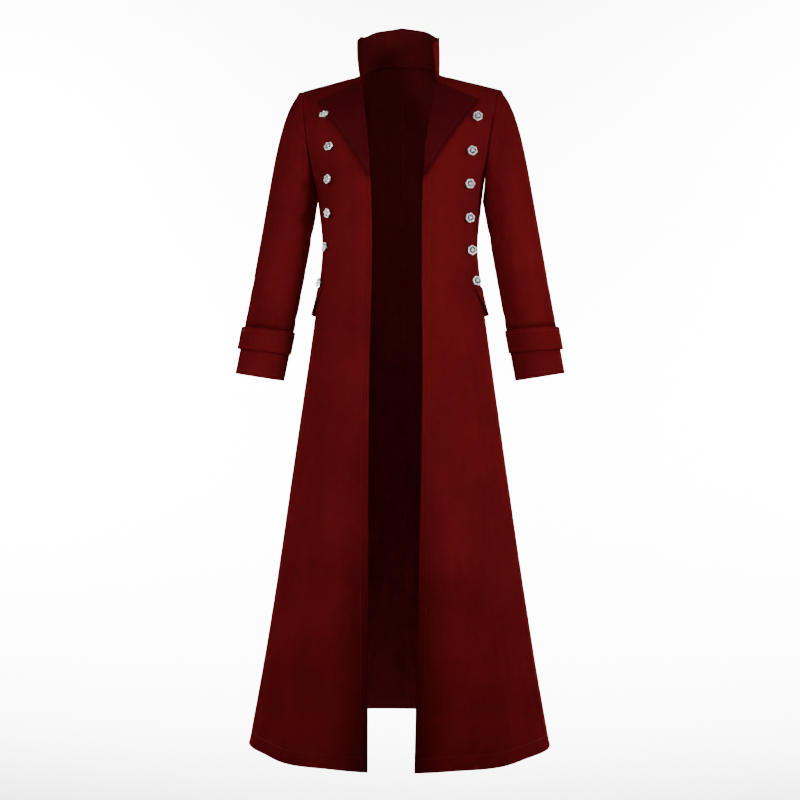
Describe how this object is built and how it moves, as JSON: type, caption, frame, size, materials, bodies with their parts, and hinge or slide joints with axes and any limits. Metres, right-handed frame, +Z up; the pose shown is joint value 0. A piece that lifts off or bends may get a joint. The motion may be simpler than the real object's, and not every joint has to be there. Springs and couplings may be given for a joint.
{
  "type": "double-breasted renaissance coat",
  "caption": "Floor-length dark red historic-costume coat, open in front, with stand collar, wide lapels, flared skirt, strapped sleeves and silver shank buttons.",
  "frame": {"origin": "middle of the neck, at the height where the shoulder seams meet the neck edge", "axes": "+X to the viewer's right, -Y out of the front, +Z up along the body"},
  "size_m": [0.6868, 0.566, 1.5084],
  "materials": {
    "cloth": "dark red twill, faint sheen",
    "lapel_cloth": "dark red twill, pressed",
    "button_metal": "antique silver, embossed"
  },
  "bodies": {
    "root": {"front_left": "cloth", "back_left": "cloth", "sleeve_left": "cloth", "cuff_strap_left": "cloth", "lapel_left": "lapel_cloth", "pocket_flap_left": "cloth", "button_left_1": "button_metal", "button_left_2": "button_metal", "button_left_3": "button_metal", "button_left_4": "button_metal", "button_left_5": "button_metal", "button_left_6": "button_metal", "front_right": "cloth", "back_right": "cloth", "sleeve_right": "cloth", "cuff_strap_right": "cloth", "lapel_right": "lapel_cloth", "pocket_flap_right": "cloth", "button_right_1": "button_metal", "button_right_2": "button_metal", "button_right_3": "button_metal", "button_right_4": "button_metal", "button_right_5": "button_metal", "button_right_6": "button_metal", "collar": "cloth"}
  },
  "joints": []
}
